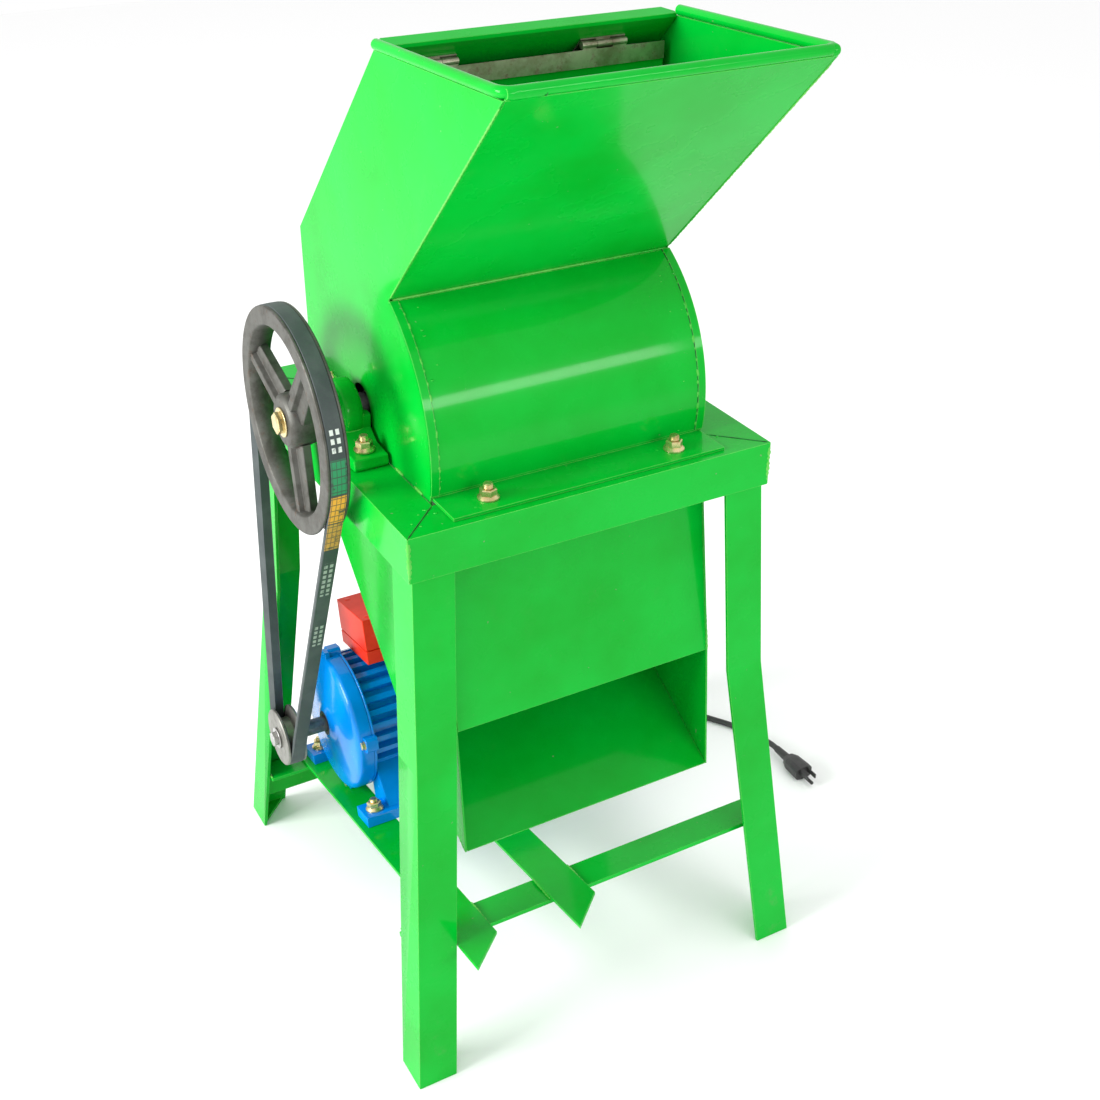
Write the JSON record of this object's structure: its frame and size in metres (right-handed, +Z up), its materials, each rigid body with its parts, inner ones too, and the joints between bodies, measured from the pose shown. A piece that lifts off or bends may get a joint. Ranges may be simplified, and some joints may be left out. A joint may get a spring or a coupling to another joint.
{
  "type": "hammer mill",
  "caption": "Belt-driven hammer mill: sloping feed hopper and drum casing on an angle-iron stand, discharge chute below, electric motor on an inclined bed, mains lead.",
  "frame": {"origin": "on the floor under the middle of the machine's outline, the lead left out", "axes": "+Z up; -Y to the discharge side; +X away from the belt drive, along the rotor shaft"},
  "size_m": [0.6901, 0.6998, 1.051],
  "materials": {
    "green_paint": "glossy brush-thick enamel",
    "bare_hinge_steel": "bare, lightly rusted",
    "cast_iron": "as cast, dark",
    "turned_grey_iron": "turned",
    "steel": "bright",
    "yellow_zinc": "yellow zinc plate",
    "belt_rubber": "dull",
    "motor_blue": "satin paint",
    "red_plastic": "satin",
    "black_plastic": "satin"
  },
  "bodies": {
    "stand": {"back_panel": "green_paint", "bearing_left": "green_paint", "bearing_nut_left_front": "yellow_zinc", "bearing_nut_left_rear": "yellow_zinc", "bearing_nut_right_front": "yellow_zinc", "bearing_nut_right_rear": "yellow_zinc", "bearing_right": "green_paint", "casing_nut_left": "yellow_zinc", "casing_nut_right": "yellow_zinc", "chute_floor": "green_paint", "chute_front_panel": "green_paint", "chute_wall_left": "green_paint", "chute_wall_right": "green_paint", "cord_gland": "black_plastic", "cross_bar_front": "green_paint", "cross_rail_rear": "green_paint", "drive_belt": "belt_rubber", "drum_cover": "green_paint", "flap_hinge_left": "bare_hinge_steel", "flap_hinge_right": "bare_hinge_steel", "hopper_front_panel": "green_paint", "hopper_rim_bead": "green_paint", "leg_front_left": "green_paint", "leg_front_right": "green_paint", "leg_rear_left": "green_paint", "leg_rear_right": "green_paint", "motor_bell": "motor_blue", "motor_fan_cover": "motor_blue", "motor_frame": "motor_blue", "motor_rail_left": "green_paint", "motor_rail_right": "green_paint", "power_cord_coil": "black_plastic", "power_cord_inlet": "black_plastic", "power_cord_outlet": "black_plastic", "power_plug": "black_plastic", "screen": "steel", "side_plate_left": "green_paint", "side_plate_right": "green_paint", "table_rail_front": "green_paint", "table_rail_left": "green_paint", "table_rail_rear": "green_paint", "table_rail_right": "green_paint", "terminal_box": "red_plastic"},
    "rotor": {"rotor_body": "steel", "hammer_pin_1": "steel", "hammer_pin_2": "steel", "hammer_pin_3": "steel", "rotor_pulley": "cast_iron", "rotor_pulley_bolt": "yellow_zinc"},
    "motor_spindle": {"motor_rotor": "steel", "motor_pulley": "turned_grey_iron", "motor_pulley_bolt": "yellow_zinc"},
    "flap": {"feed_flap": "green_paint", "flap_hinge_strip": "bare_hinge_steel"},
    "hammer_1a_body": {"hammer_1a": "steel"},
    "hammer_1b_body": {"hammer_1b": "steel"},
    "hammer_2a_body": {"hammer_2a": "steel"},
    "hammer_2b_body": {"hammer_2b": "steel"},
    "hammer_3a_body": {"hammer_3a": "steel"},
    "hammer_3b_body": {"hammer_3b": "steel"}
  },
  "joints": [
    {"name": "rotor_spin", "type": "hinge", "parent": "stand", "child": "rotor", "pos_m": [0, 0.028, 0.6765], "axis": [1, 0, 0], "continuous": true},
    {"name": "motor_spin", "type": "hinge", "parent": "stand", "child": "motor_spindle", "pos_m": [0, 0.167, 0.19728], "axis": [1, 0, 0], "continuous": true},
    {"name": "flap_swing", "type": "hinge", "parent": "stand", "child": "flap", "pos_m": [0, -0.0465, 1.0152], "axis": [1, 0, 0], "range_deg": [-12, 38]},
    {"name": "hammer_1a_swing", "type": "hinge", "parent": "rotor", "child": "hammer_1a_body", "pos_m": [0, 0.028, 0.7465], "axis": [1, 0, 0], "continuous": true},
    {"name": "hammer_1b_swing", "type": "hinge", "parent": "rotor", "child": "hammer_1b_body", "pos_m": [0, 0.028, 0.7465], "axis": [1, 0, 0], "continuous": true},
    {"name": "hammer_2a_swing", "type": "hinge", "parent": "rotor", "child": "hammer_2a_body", "pos_m": [0, -0.03262, 0.6415], "axis": [1, 0, 0], "continuous": true},
    {"name": "hammer_2b_swing", "type": "hinge", "parent": "rotor", "child": "hammer_2b_body", "pos_m": [0, -0.03262, 0.6415], "axis": [1, 0, 0], "continuous": true},
    {"name": "hammer_3a_swing", "type": "hinge", "parent": "rotor", "child": "hammer_3a_body", "pos_m": [0, 0.08862, 0.6415], "axis": [1, 0, 0], "continuous": true},
    {"name": "hammer_3b_swing", "type": "hinge", "parent": "rotor", "child": "hammer_3b_body", "pos_m": [0, 0.08862, 0.6415], "axis": [1, 0, 0], "continuous": true}
  ],
  "couplings": [
    {"joint": "motor_spin", "follows": "rotor_spin", "ratio": 3.6}
  ]
}
